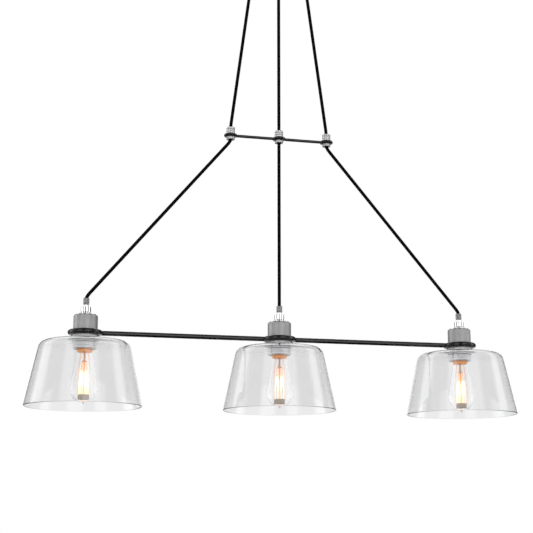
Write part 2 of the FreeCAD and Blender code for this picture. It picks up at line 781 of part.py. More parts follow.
def make_bulb_base(side):
    """The screw base: a thin shell with a rolled thread and a rim that holds the glass."""
    outside = mm.base_diameter / 2
    rim = mm.base_rim_diameter / 2
    top_inside = mm.base_length - mm.base_wall
    quarter = mm.base_thread_pitch / 4
    outline = [(base_inside, ZERO), (rim, ZERO), (rim, mm.base_rim_height),
               (base_root, mm.base_rim_height)]
    for number in range(BASE_THREADS):
        crest = mm.base_rim_height + quarter * 3 + mm.base_thread_pitch * number
        outline += [(base_root, crest - quarter), (outside, crest),
                    (base_root, crest + quarter)]
    outline += [(base_root, mm.base_length), (ZERO, mm.base_length), (ZERO, top_inside),
                (base_inside, top_inside)]
    base = turned(f"bulb_base_body_{side}", outline)
    place(base, lamp_place(side), ZERO, bar_level - mm.bulb_neck_drop)
    keep(base, f"bulb_base_{side}")


def tangent_point(start, centre_height, radius):
    """Where the line from a point meets a circle on the axis without cutting it."""
    across, up = start[0], start[1] - centre_height
    reach = across * across + up * up
    along = (reach - radius * radius).root()
    return (
        (radius * radius * across + radius * along * up) / reach,
        centre_height + (radius * radius * up - radius * along * across) / reach,
    )


def make_bulb_envelope(side):
    """The clear glass: a neck in the base, a cone, a round bottom and a drawn tip."""
    ball = mm.bulb_diameter / 2
    inner_ball = ball - mm.bulb_wall
    tip = mm.bulb_tip_diameter / 2
    centre = ball + mm.bulb_tip_length
    neck_height = centre + mm.bulb_centre_drop - mm.bulb_neck_drop
    neck = mm.bulb_neck_diameter / 2
    inner_plug = plug_radius - mm.bulb_wall
    plug_top = neck_height + mm.bulb_plug_height
    inner_neck = neck - mm.bulb_wall
    outer_turn = tangent_point((neck, neck_height), centre, ball)
    inner_turn = tangent_point((inner_neck, neck_height - mm.bulb_wall), centre, inner_ball)
    tip_top = centre - (ball * ball - tip * tip).root()
    on_axis = (ZERO, centre)
    envelope = turned(f"bulb_envelope_body_{side}", [
        (ZERO, ZERO), (tip / 3, ZERO), (tip, tip_top), (*outer_turn, on_axis),
        (neck, neck_height), (plug_radius, neck_height), (plug_radius, plug_top),
        (inner_plug, plug_top),
        (inner_plug, neck_height - mm.bulb_wall), (inner_neck, neck_height - mm.bulb_wall),
        inner_turn, (ZERO, centre - inner_ball, on_axis),
    ])
    place(envelope, lamp_place(side), ZERO, bar_level - mm.bulb_centre_drop - centre)
    keep(envelope, f"bulb_envelope_{side}")


def make_bulb_filament(side):
    """The mount inside the bulb: a glass stem, a mast, a hub, a holder and the filaments."""
    stem = mm.stem_diameter / 2
    mast = mm.mast_diameter / 2
    hub = mm.hub_diameter / 2
    holder = mm.holder_diameter / 2
    flare = plug_radius - mm.bulb_wall - mm.stem_flare_gap
    height = mm.holder_drop + mm.holder_height - mm.bulb_neck_drop
    stem_low = height - mm.stem_length
    hub_low = stem_low - mm.hub_height
    flare_low = height + mm.bulb_plug_height - mm.stem_flare_height
    flare_top = height + mm.bulb_plug_height
    sheet_thickness = mm.holder_wall
    mount = turned(f"filament_mount_{side}", [
        (holder - sheet_thickness, ZERO), (holder, ZERO), (holder, mm.holder_height),
        (mast, mm.holder_height), (mast, hub_low), (hub, hub_low), (hub, stem_low),
        (stem, stem_low), (stem, flare_low), (flare, flare_low), (flare, flare_top),
        (ZERO, flare_top), (ZERO, mm.holder_height - sheet_thickness),
        (holder - sheet_thickness, mm.holder_height - sheet_thickness),
    ])
    low = (holder.value - sheet_thickness.value, mm.holder_height.value)
    high = (hub.value - mm.filament_diameter.value, hub_low.value)
    level = bar_level.value - mm.holder_drop.value - mm.holder_height.value
    place(mount, lamp_place(side), ZERO, bar_level - mm.holder_drop - mm.holder_height)
    pieces = [mount]
    for number in range(FILAMENTS):
        angle = 2 * math.pi * (number + 0.5) / FILAMENTS
        way = FreeCAD.Vector(math.cos(angle), math.sin(angle), 0)
        foot = way * low[0] + FreeCAD.Vector(0, 0, low[1] - sheet_thickness.value / 2)
        head = way * high[0] + FreeCAD.Vector(0, 0, high[1] + mm.hub_height.value / 2)
        run = head - foot
        wire = doc.addObject("Part::Cylinder", f"filament_{side}_{number}")
        wire.setExpression("Radius", (mm.filament_diameter / 2).text)
        wire.Height = run.Length
        wire.Placement = FreeCAD.Placement(
            foot + FreeCAD.Vector(lamp_place(side).value, 0, level),
            FreeCAD.Rotation(FreeCAD.Vector(0, 0, 1), run),
        )
        pieces.append(wire)
    keep(joined(f"filament_union_{side}", pieces), f"bulb_filament_{side}")


# ---------------------------------------------------------------------------------------------
# The whole pendant
# ---------------------------------------------------------------------------------------------

def check_document():
    """Stop before anything is written if a feature failed or a sub-part has no sound shape."""
    for each in doc.Objects:
        if "Invalid" in each.State or "Error" in each.State:
            raise RuntimeError(f"{each.Label} did not recompute: {each.State}")
    for part in parts:
        if part.Shape.isNull() or not part.Shape.isValid():
            raise RuntimeError(f"{part.Label} has no valid shape")
        if len(part.Shape.Solids) != 1:
            raise RuntimeError(f"{part.Label} has {len(part.Shape.Solids)} solids")


def main():
    make_canopy()
    make_crossbar()
    make_canopy_screws()
    make_ground_screw()
    make_canopy_grips()
    make_cords()
    make_spreader()
    make_ferrules()
    make_lamp_bar()
    for side in SIDES:
        make_lamp_grip(side)
        make_socket_cap(side)
        make_socket_cup(side)
        make_lampholder(side)
        make_screw_shell(side)
        make_shade(side)
        make_shade_ring(side)
        make_bulb_contact(side)
        make_bulb_base(side)
        make_bulb_envelope(side)
        make_bulb_filament(side)
    doc.recompute()
    check_document()
    os.makedirs("parts", exist_ok=True)
    for part in parts:
        part.Shape.exportStep(os.path.join("parts", f"{part.Label}.step"))
    print(f"{len(parts)} sub-parts written")


main()
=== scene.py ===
"""Looks of a linear island pendant: three clear glass shades in line under a hammered bar.

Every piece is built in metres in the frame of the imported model, whose origin is the centre of the
canopy's ceiling face. The bar runs along X and the pendant hangs below z = 0.
"""

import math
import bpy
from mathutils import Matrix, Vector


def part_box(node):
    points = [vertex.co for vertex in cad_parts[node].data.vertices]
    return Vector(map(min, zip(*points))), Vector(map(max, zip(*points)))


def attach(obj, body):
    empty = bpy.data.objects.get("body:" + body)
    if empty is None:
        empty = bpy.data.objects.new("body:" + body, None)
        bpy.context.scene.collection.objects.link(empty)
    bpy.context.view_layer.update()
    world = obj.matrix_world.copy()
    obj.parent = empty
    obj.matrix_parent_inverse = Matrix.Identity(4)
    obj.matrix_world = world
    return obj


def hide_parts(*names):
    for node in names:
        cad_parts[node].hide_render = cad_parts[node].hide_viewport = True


bl_info = {
    "name": "Linear island pendant",
    "version": (1, 0, 0),
    "blender": (4, 5, 0),
    "location": "View3D > Sidebar > Pendant",
    "description": "Dresses the packed parts of a three-light island pendant",
    "category": "Object",
}

from collections import namedtuple

import bpy
from bpy.props import FloatProperty, FloatVectorProperty, IntProperty, PointerProperty
from mathutils import Vector

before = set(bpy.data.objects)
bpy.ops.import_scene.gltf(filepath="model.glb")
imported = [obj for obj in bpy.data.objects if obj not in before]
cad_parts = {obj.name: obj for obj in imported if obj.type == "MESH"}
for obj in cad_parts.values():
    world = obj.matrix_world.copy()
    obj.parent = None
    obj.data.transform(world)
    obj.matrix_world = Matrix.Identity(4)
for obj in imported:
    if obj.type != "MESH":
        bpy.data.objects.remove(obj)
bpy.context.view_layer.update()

MM = 0.001
SIDES = ("left", "centre", "right")
UP = Vector((0.0, 0.0, 1.0))

# A corner of an outline that is turned about an upright axis: its radius and height in
# millimetres, the radius of its rounding, and the share of the section's pattern that it takes.
Corner = namedtuple("Corner", "radius height rounding pattern", defaults=(0.0, 0.0))
Span = namedtuple("Span", "low high")

# Heights in a bulb, above the foot of its filament holder.
HOLDER_HEIGHT = 9.0 * MM
HUB_HEIGHT = 70.6 * MM


# ---- Sizes and colours that a user can change ----

def length(name, description, default):
    return FloatProperty(name=name, description=description, default=default, min=0.0,
                         unit="LENGTH", precision=5)


def colour(name, description, default):
    return FloatVectorProperty(name=name, description=description, default=default, size=3,
                               min=0.0, max=1.0, subtype="COLOR")


class PendantSizes(bpy.types.PropertyGroup):
    """Sizes of the details that the looks add to the solids."""

    hammer_depth: length("Hammer depth", "Depth of the dents in the forged bars", 0.00025)
    hammer_spread: length("Hammer spread", "Distance between the dents", 0.0065)
    knurl_depth: length("Knurl depth", "Depth of the flutes on the nuts and knobs", 0.0003)
    edge_round: length("Edge rounding", "Rounding of the turned edges", 0.0004)
    cord_bend: length("Cord bend", "Straight length of a cord outside each mouth", 0.003)
    cord_ease: length("Cord ease", "Length in which a cord eases into its straight run", 0.020)
    wire_width: length("Filament width", "Thickness of a glowing wire", 0.0008)
    shade_segments: IntProperty(name="Shade segments", default=512, min=48, max=512,
                                description="Facets round each glass shade")


class PendantColours(bpy.types.PropertyGroup):
    """Colours of the finishes."""

    iron: colour("Iron", "Lacquer on the hammered bars", (0.0035, 0.0035, 0.004))
    cord: colour("Cord", "Cover of the cords", (0.004, 0.004, 0.0045))
    canopy: colour("Canopy", "Paint of the ceiling canopy", (0.022, 0.022, 0.023))
    nickel: colour("Nickel", "Brushed plating of the ferrules", (0.50, 0.50, 0.50))
    grip: colour("Grips", "Brushed plating of the cord grips", (0.26, 0.26, 0.265))
    chrome: colour("Chrome", "Polished plating of the caps and rings", (0.80, 0.80, 0.81))
    satin: colour("Satin grey", "Satin finish of the cups", (0.34, 0.34, 0.345))
    glass: colour("Shade glass", "Tint of the shade glass", (0.86, 0.86, 0.865))
    copper: colour("Copper", "Metal of the bulb bases", (0.86, 0.36, 0.11))
    glow_top: colour("Glow, top", "Colour of the filaments near the hub", (1.0, 0.34, 0.08))
    glow_middle: colour("Glow, middle", "Colour of the hottest part", (1.0, 0.86, 0.60))
    glow_foot: colour("Glow, foot", "Colour of the filaments near the holder", (1.0, 0.70, 0.30))
    glow_mast: colour("Glow, mast", "Colour of the mast's lower half", (1.0, 0.80, 0.16))
    glow_lead: colour("Glow, leads", "Colour of the outer leads", (1.0, 0.66, 0.42))


# ---- Where things are ----

def middle(node):
    low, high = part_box(node)
    return (low + high) / 2


def lamp_place(side, height=0.0):
    """A point on the axis of one lamp, at a height above the middle of the lamp bar."""
    return Vector((middle(f"shade_{side}").x, 0.0, middle("lamp_bar").z + height))


def foot_of(node):
    low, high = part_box(node)
    return Vector(((low.x + high.x) / 2, (low.y + high.y) / 2, low.z))


# ---- Making pieces ----

def piece_of(name, points, faces):
    """A mesh object with smooth faces and its normals turned outwards."""
    mesh = bpy.data.meshes.new(name)
    mesh.from_pydata(points, [], faces)
    mesh.validate()
    mesh.shade_smooth()
    piece = bpy.data.objects.new(name, mesh)
    bpy.context.scene.collection.objects.link(piece)
    return piece


def round_corners(outline, steps):
    """The outline's points as vectors, each rounded corner replaced by an arc."""
    line = []
    for index, corner in enumerate(outline):
        here = Vector((corner.radius, corner.height))
        if corner.rounding <= 0.0:
            line.append((here, corner.pattern))
            continue
        following = outline[(index + 1) % len(outline)]
        back = (Vector(outline[index - 1][:2]) - here).normalized()
        ahead = (Vector(following[:2]) - here).normalized()
        half_open = back.angle(ahead) / 2
        centre = here + (back + ahead).normalized() * (corner.rounding / math.sin(half_open))
        reach = corner.rounding / math.tan(half_open)
        start = here + back * reach - centre
        end = here + ahead * reach - centre
        first = math.atan2(start.y, start.x)
        turn = (math.atan2(end.y, end.x) - first + math.pi) % (2 * math.pi) - math.pi
        for step in range(steps + 1):
            angle = first + turn * step / steps
            spoke = Vector((math.cos(angle), math.sin(angle))) * corner.rounding
            line.append((centre + spoke, corner.pattern))
    return line


def spun(name, outline, foot, segments=72, steps=3, section=None):
    """Turn a closed outline, listed outwards along its foot and then up, about an upright axis.
    A section gives the radius at an angle as a share of the round one."""
    line = round_corners(outline, steps)
    points, rings = [], []
    for point, pattern in line:
        radius, height = max(point.x, 0.0) * MM, point.y * MM
        if radius < 1e-7:
            rings.append([len(points)])
            points.append((foot.x, foot.y, foot.z + height))
            continue
        rings.append(range(len(points), len(points) + segments))
        for number in range(segments):
            angle = 2 * math.pi * number / segments
            share = 1.0
            if section and pattern:
                share += pattern * (section(angle) - 1.0)
            points.append((foot.x + radius * share * math.cos(angle),
                           foot.y + radius * share * math.sin(angle), foot.z + height))
    faces = []
    for index, ring in enumerate(rings):
        above = rings[(index + 1) % len(rings)]
        if len(ring) == 1 and len(above) == 1:
            continue
        for number in range(segments):
            after = (number + 1) % segments
            if len(ring) == 1:
                faces.append((ring[0], above[after], above[number]))
            elif len(above) == 1:
                faces.append((ring[number], ring[after], above[0]))
            else:
                faces.append((ring[number], ring[after], above[after], above[number]))
    piece = piece_of(name, points, faces)
    weighted = piece.modifiers.new("Weighted normals", "WEIGHTED_NORMAL")
    weighted.weight = 100
    return piece


def flutes(count, depth):
    """A section with shallow flutes all round."""
    return lambda angle: 1.0 - depth * (0.5 - 0.5 * math.cos(count * angle))


def hexagon(angle):
    """A section with six flats."""
    return math.cos(math.pi / 6) / math.cos(angle % (math.pi / 3) - math.pi / 6)


def thread(radius, depth, pitch, low, high):
    """Corners of a thread, drawn as rings, from a low height up to a high one."""
    corners = []
    for number in range(int((high - low) / pitch)):
        height = low + pitch * number
        corners += [Corner(radius - depth, height), Corner(radius, height + pitch / 2)]
    return corners


def tube(name, points, radii, sides=10):
    """A round wire along points, with its own radius at each point and closed ends."""
    verts, faces = [], []
    side_way = Vector((0.0, 1.0, 0.0))
    for index, point in enumerate(points):
        ahead = points[min(index + 1, len(points) - 1)] - points[max(index - 1, 0)]
        ahead.normalize()
        side_way = (side_way - ahead * side_way.dot(ahead)).normalized()
        other_way = ahead.cross(side_way)
        for number in range(sides):
            angle = 2 * math.pi * number / sides
            spoke = side_way * math.cos(angle) + other_way * math.sin(angle)
            verts.append(point + spoke * radii[index])
    for index in range(len(points) - 1):
        for number in range(sides):
            after = (number + 1) % sides
            low, high = index * sides, (index + 1) * sides
            faces.append((low + number, low + after, high + after, high + number))
    faces.append(tuple(reversed(range(sides))))
    faces.append(tuple(range(len(verts) - sides, len(verts))))
    return piece_of(name, verts, faces)


def merged(name, pieces):
    """Join pieces of one material into one object."""
    with bpy.context.temp_override(active_object=pieces[0], object=pieces[0],
                                   selected_editable_objects=pieces,
                                   selected_objects=pieces):
        bpy.ops.object.join()
    pieces[0].name = name
    pieces[0].data.name = name
    return pieces[0]


def dress(piece, material, body, slot, *nodes):
    """Give a new piece its finish and its body, and hide the nodes that it stands for. The slot is
    not used.
    """
    piece.data.materials.clear()
    piece.data.materials.append(material)
    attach(piece, body)
    if nodes:
        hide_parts(*nodes)
    return piece


def finish_node(node, material):
    """Give a solid that stays as it is its finish."""
    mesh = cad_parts[node].data
    mesh.materials.clear()
    mesh.materials.append(material)
    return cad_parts[node]


# ---- Finishes ----

class Nodes:
    """A node tree and the few kinds of node that the finishes and the studio are made of."""

    def __init__(self, tree, place):
        self.tree = tree
        self.place = tree.nodes.new("ShaderNodeTexCoord").outputs[place]

    def node(self, kind, sources=None, **settings):
        made = self.tree.nodes.new(kind)
        for setting, value in settings.items():
            setattr(made, setting, value)
        for socket, source in (sources or {}).items():
            if isinstance(source, bpy.types.NodeSocket):
                self.tree.links.new(source, made.inputs[socket])
            else:
                made.inputs[socket].default_value = source
        return made

    def math(self, operation, first, second=0.0):
        made = self.node("ShaderNodeMath", {0: first, 1: second}, operation=operation)
        return made.outputs["Value"]

    def stretched(self, stretch):
        """The place on the piece, stretched along its axes."""
        mapping = self.node("ShaderNodeMapping", {"Vector": self.place, "Scale": stretch})
        return mapping.outputs["Vector"]

    def noise(self, scale, detail=3.0, stretch=(1.0, 1.0, 1.0)):
        texture = self.node("ShaderNodeTexNoise", {
            "Vector": self.stretched(stretch), "Scale": scale, "Detail": detail})
        return texture.outputs["Fac"]

    def cells(self, scale, stretch=(1.0, 1.0, 1.0), feature="SMOOTH_F1"):
        texture = self.node("ShaderNodeTexVoronoi", {
            "Vector": self.stretched(stretch), "Scale": scale}, feature=feature)
        return texture.outputs["Distance"]

    def waves(self, scale, direction, distortion=0.0, stretch=(1.0, 1.0, 1.0)):
        texture = self.node("ShaderNodeTexWave", {
            "Vector": self.stretched(stretch), "Scale": scale, "Distortion": distortion},
            bands_direction=direction)
        return texture.outputs["Fac"]

    def ramp(self, source, *stops):
        made = self.node("ShaderNodeValToRGB", {"Fac": source})
        elements = made.color_ramp.elements
        while len(elements) < len(stops):
            elements.new(0.5)
        for element, (position, shade) in zip(elements, stops):
            element.position = position
            element.color = (*shade, 1.0)
        return made.outputs["Color"]

    def blend(self, share, first, second):
        made = self.node("ShaderNodeMix", data_type="RGBA")
        for index, value in ((0, share), (6, first), (7, second)):
            if isinstance(value, bpy.types.NodeSocket):
                self.tree.links.new(value, made.inputs[index])
            else:
                made.inputs[index].default_value = value if index == 0 else (*value, 1.0)
        return made.outputs[2]

    def spread(self, source, low, high):
        """A value spread between a low and a high one."""
        made = self.node("ShaderNodeMapRange", {
            "Value": source, "From Min": 0.3, "From Max": 0.7, "To Min": low, "To Max": high})
        return made.outputs["Result"]


class Finish(Nodes):
    """A material, made round its own shader."""

    def __init__(self, name, **sockets):
        self.material = bpy.data.materials.new(name)
        self.material.use_nodes = True
        super().__init__(self.material.node_tree, "Object")
        self.shader = self.tree.nodes["Principled BSDF"]
        self.output = self.tree.nodes["Material Output"]
        for socket, value in sockets.items():
            self.shader.inputs[socket.replace("_", " ")].default_value = value

    def into(self, socket, source):
        self.tree.links.new(source, self.shader.inputs[socket])

    def bumps(self, *layers):
        """Layers of relief: each a height source, its strength and its depth in metres."""
        normal = None
        for source, strength, depth in layers:
            sources = {"Height": source, "Strength": strength, "Distance": depth}
            if normal is not None:
                sources["Normal"] = normal
            normal = self.node("ShaderNodeBump", sources).outputs["Normal"]
        self.into("Normal", normal)


def tone(shade, factor):
    return tuple(min(1.0, channel * factor) for channel in shade)


def painted(name, shade, roughness):
    """Sprayed paint: a faint orange peel and a slow change of gloss."""
    made = Finish(name, Roughness=roughness, Coat_Weight=0.15, Coat_Roughness=0.35)
    patches = made.noise(35.0)
    made.into("Base Color", made.ramp(patches, (0.3, tone(shade, 0.8)), (0.7, tone(shade, 1.3))))
    made.into("Roughness", made.spread(patches, roughness - 0.06, roughness + 0.08))
    made.bumps((made.noise(1400.0, 2.0), 0.25, 0.0001))
    return made.material


def hammered(name, shade):
    """Lacquered black iron: dents, pores, and dents painted lighter at their middles, partly worn
    lacquer and partly a painted highlight.
    """
    made = Finish(name, Specular_IOR_Level=0.35, Coat_Weight=0.03, Coat_Roughness=0.12)
    dents = made.cells(190.0, (0.55, 1.0, 1.0))
    grain = made.noise(900.0, 5.0)
    # Partly painted highlight: each dent is painted lighter at its middle, standing both for
    # lacquer worn thin and for light caught in the dent.
    rubbed_and_highlit = made.ramp(dents, (0.25, tone(shade, 1.8)), (0.75, tone(shade, 0.5)))
    made.into("Base Color", made.blend(made.spread(grain, 0.0, 0.6), rubbed_and_highlit, tone(shade, 0.7)))
    made.into("Roughness", made.spread(made.noise(260.0, 4.0), 0.12, 0.3))
    made.bumps((dents, 0.25, 0.0003), (grain, 0.2, 0.00005))
    return made.material


def covered_cord(name, shade):
    """A close black braid: two crossing sets of ribs and a soft, dull cover."""
    made = Finish(name, Roughness=1.0, Specular_IOR_Level=0.01)
    one_way = made.waves(380.0, "DIAGONAL")
    other_way = made.waves(380.0, "DIAGONAL", 0.0, (-1.0, 1.0, 1.0))
    weave = made.math("MAXIMUM", one_way, other_way)
    # Painted shade and highlight: the braid is painted darker in its gaps and lighter on its ribs,
    # along the same pattern as its relief.
    made.into("Base Color", made.ramp(weave, (0.1, tone(shade, 0.45)), (0.9, tone(shade, 1.25))))
    made.bumps((weave, 0.4, 0.00015), (made.noise(2500.0, 2.0), 0.2, 0.0001))
    return made.material


def turned_metal(name, shade, roughness, glow=0.0):
    """Metal finished on a lathe: fine lines round the piece and a slow change of tone. A painted
    glow stands for the light of hot wires close by."""
    made = Finish(name, Metallic=1.0, Anisotropic=0.35, Emission_Color=(*shade, 1.0),
                  Emission_Strength=glow)
    lines = made.noise(60.0, 3.0, (0.3, 0.3, 22.0))
    patches = made.noise(90.0)
    tones = made.ramp(lines, (0.3, tone(shade, 0.95)), (0.7, tone(shade, 1.05)))
    made.into("Base Color", made.blend(made.spread(patches, 0.0, 0.35), tones, tone(shade, 0.85)))
    made.into("Roughness", made.spread(lines, roughness - 0.05, roughness + 0.07))
    made.bumps((lines, 0.35, 0.03 * MM))
    return made.material


def polished(name, shade):
    """Polished plating with the faint haze that handling leaves."""
    made = Finish(name, Metallic=1.0)
    haze = made.noise(120.0, 4.0)
    made.into("Base Color", made.ramp(haze, (0.2, tone(shade, 0.96)), (0.8, tone(shade, 1.02))))
    made.into("Roughness", made.spread(haze, 0.03, 0.09))
    made.bumps((made.noise(70.0, 1.0), 0.04, 0.0004))
    return made.material


def satin_metal(name, shade, foot):
    """Satin grey metal: a blasted grain under fine lathe lines, and a painted highlight on the
    foot, lighter up to the lower of two heights and fading out by the upper one."""
    made = Finish(name, Metallic=0.9, Coat_Weight=0.1, Coat_Roughness=0.3)
    grain = made.noise(520.0, 4.0)
    lines = made.noise(50.0, 3.0, (0.5, 0.5, 30.0))
    blasted = made.blend(made.spread(grain, 0.0, 1.0), tone(shade, 0.93), tone(shade, 1.07))
    axes = made.node("ShaderNodeSeparateXYZ", {"Vector": made.place})
    rise = made.node("ShaderNodeMapRange", {
        "Value": axes.outputs["Z"], "From Min": foot.low, "From Max": foot.high})
    # Painted highlight: the foot is painted lighter, standing for the light that its flange
    # catches.
    made.into("Base Color", made.blend(rise.outputs["Result"], tone(shade, 1.45), blasted))
    made.into("Roughness", made.spread(lines, 0.52, 0.62))
    made.bumps((grain, 0.25, 0.00008), (lines, 0.2, 0.00005))
    return made.material


def plated_strap(name, shade):
    """Zinc plating with its spangle."""
    made = Finish(name, Metallic=0.95)
    spangle = made.cells(260.0, feature="F1")
    made.into("Base Color", made.ramp(spangle, (0.1, tone(shade, 1.1)), (0.8, tone(shade, 0.75))))
    made.into("Roughness", made.spread(spangle, 0.32, 0.5))
    made.bumps((made.noise(700.0), 0.2, 0.0001))
    return made.material


def porcelain(name, shade):
    """Unglazed porcelain with fine pits and a few darker specks."""
    made = Finish(name, Roughness=0.62)
    specks = made.noise(650.0, 5.0)
    made.into("Base Color", made.ramp(specks, (0.28, tone(shade, 0.82)), (0.42, shade)))
    made.bumps((specks, 0.3, 0.0002))
    return made.material


def clear_glass(name, tint, ior, waviness, glow=0.0):
    """Blown glass: faintly wavy, faintly tinted, and open to the light of the lamps. A lit bulb's
    glass gets a painted glow, standing for the light of its wires."""
    made = Finish(name, Transmission_Weight=1.0, Roughness=0.0, IOR=ior,
                  Base_Color=(*tint, 1.0), Emission_Strength=glow)
    made.bumps((made.noise(24.0, 1.0, (1.0, 1.0, 0.35)), waviness, 0.002))
    path = made.node("ShaderNodeLightPath")
    clear = made.node("ShaderNodeBsdfTransparent", {"Color": (*tint, 1.0)})
    mixed = made.node("ShaderNodeMixShader", {0: path.outputs["Is Shadow Ray"],
                                              1: made.shader.outputs["BSDF"],
                                              2: clear.outputs["BSDF"]})
    made.tree.links.new(mixed.outputs["Shader"], made.output.inputs["Surface"])
    return made.material


def glowing_wire(name, height, *stops):
    """Hot wire whose colour changes with its height: stops are shares of the height, colours
    and strengths."""
    made = Finish(name, Roughness=0.5)
    axes = made.node("ShaderNodeSeparateXYZ", {"Vector": made.place})
    share = made.node("ShaderNodeMapRange", {
        "Value": axes.outputs["Z"], "From Min": height.low, "From Max": height.high})
    brightest = max(strength for position, shade, strength in stops)
    made.shader.inputs["Emission Strength"].default_value = brightest
    glow = made.ramp(share.outputs["Result"], *[(position, tone(shade, strength / brightest))
                                                for position, shade, strength in stops])
    flicker = made.noise(900.0, 2.0)
    made.into("Emission Color", made.blend(made.spread(flicker, 0.0, 0.3), glow, stops[-1][1]))
    made.into("Base Color", made.ramp(flicker, (0.3, (0.25, 0.10, 0.04)), (0.7, (0.5, 0.25, 0.1))))
    return made.material


FINISHES = {}


def make_finishes(colours):
    """Make every finish once, from the colours that the user set."""
    low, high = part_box("bulb_filament_centre")
    height = Span(low.z + HOLDER_HEIGHT, low.z + HUB_HEIGHT)
    cup = foot_of("socket_cup_centre").z
    # The band of the cups' foot that is painted lighter, as a highlight.
    painted_highlight_foot = Span(cup + 6.0 * MM, cup + 9.0 * MM)
    FINISHES.update({
        "canopy": painted("black canopy paint", colours.canopy, 0.5),
        "strap": plated_strap("zinc plating", (0.55, 0.55, 0.56)),
        "green": painted("green screw plating", (0.03, 0.24, 0.08), 0.35),
        "nickel": turned_metal("brushed nickel", colours.nickel, 0.42),
        "grip": turned_metal("brushed grip", colours.grip, 0.45),
        "cord": covered_cord("black cord cover", colours.cord),
        "iron": hammered("hammered black iron", colours.iron),
        "chrome": polished("polished chrome", colours.chrome),
        "satin": satin_metal("satin grey metal", colours.satin, painted_highlight_foot),
        "porcelain": porcelain("lampholder porcelain", (0.76, 0.75, 0.72)),
        "brass": turned_metal("shell brass", (0.78, 0.58, 0.28), 0.28),
        "glass": clear_glass("clear shade glass", colours.glass, 1.5, 0.01),
        "ring": polished("polished ring", tone(colours.chrome, 0.97)),
        "contact": turned_metal("tinned contact", (0.5, 0.5, 0.5), 0.35),
        # The copper bases get a painted glow, standing for the light that their filaments cast on
        # them.
        "copper": turned_metal("copper base", colours.copper, 0.3, glow=0.16),
        # The bulb glass gets a faint painted glow, standing for the light of its wires in the
        # glass.
        "bulb": clear_glass("clear bulb glass", (0.985, 0.985, 0.98), 1.45, 0.02, 0.04),
        "wire": glowing_wire("glowing filament", height, (0.0, colours.glow_foot, 1.8),
                             (0.2, colours.glow_foot, 2.6), (0.35, colours.glow_middle, 5.0),
                             (0.60, colours.glow_middle, 4.6), (0.76, colours.glow_top, 1.2),
                             (1.0, colours.glow_top, 0.7)),
        "mast": glowing_wire("glowing mast", height, (0.0, colours.glow_mast, 1.1),
                             (0.55, colours.glow_mast, 1.0), (0.68, colours.glow_top, 0.9),
                             (0.9, colours.glow_top, 0.5), (1.0, colours.glow_top, 0.15)),
        "lead": glowing_wire("warm lead", height, (0.0, colours.glow_lead, 1.0),
                             (0.6, colours.glow_lead, 0.9), (1.0, colours.glow_top, 0.6)),
        "stem": clear_glass("stem glass", (0.97, 0.95, 0.93), 1.5, 0.05),
        "mica": porcelain("filament holder", (0.42, 0.33, 0.25)),
    })


def finish_of(name):
    if not FINISHES:
        make_finishes(bpy.context.scene.pendant_colours)
    return FINISHES[name]


# ---- Canopy and its fixings ----

class PENDANT_OT_canopy(bpy.types.Operator):
    """Finish the ceiling canopy"""

    bl_idname = "pendant.canopy"
    bl_label = "Canopy"

    def execute(self, context):
        finish_node("ceiling_canopy", finish_of("canopy"))
        return {"FINISHED"}


class PENDANT_OT_fixings(bpy.types.Operator):
    """Finish the crossbar and make the knob screws, the ground screw and the locknuts"""

    bl_idname = "pendant.fixings"
    bl_label = "Fixings"

    def execute(self, context):
        sizes = context.scene.pendant_sizes
        finish_node("mounting_crossbar", finish_of("strap"))
        for name in ("front", "back"):
            node = f"canopy_screw_{name}"
            outline = [
                Corner(0.0, 0.0), Corner(3.0, 0.0), Corner(3.6, 0.7), Corner(5.5, 1.2, 0.6, 1.0),
                Corner(5.5, 7.0, 0.5, 1.0), Corner(1.6, 7.0),
                *thread(2.0, 0.35, 0.8, 7.2, 31.6), Corner(1.5, 32.0), Corner(0.0, 32.0),
            ]
            knob = spun(f"{node}_knob", outline, foot_of(node), 96, 3,
                        flutes(24, sizes.knurl_depth / (5.5 * MM)))
            dress(knob, finish_of("nickel"), "ceiling_mount", "brushed_nickel", node)
        outline = [
            Corner(0.0, 0.6), Corner(2.6, 0.6), Corner(2.6, 0.0), Corner(4.0, 0.0, 0.8, 1.0),
            Corner(4.0, 3.0, 0.3, 1.0), Corner(1.7, 3.0),
            *thread(2.0, 0.3, 0.7, 3.0, 5.0), Corner(0.0, 5.0),
        ]
        screw = spun("ground_screw_head", outline, foot_of("ground_screw"), 72, 3, hexagon)
        dress(screw, finish_of("green"), "ceiling_mount", "green_screw", "ground_screw")
        for side in SIDES:
            node = f"grip_locknut_{side}"
            outline = [
                Corner(5.1, 0.0), Corner(7.1, 0.0), Corner(8.0, 0.5, 0.0, 1.0),
                Corner(8.0, 3.5, 0.0, 1.0), Corner(7.1, 4.0), Corner(5.1, 4.0),
            ]
            nut = spun(f"{node}_hexagon", outline, foot_of(node), 72, 3, hexagon)
            dress(nut, finish_of("strap"), "ceiling_mount", "zinc_strap", node)
        return {"FINISHED"}


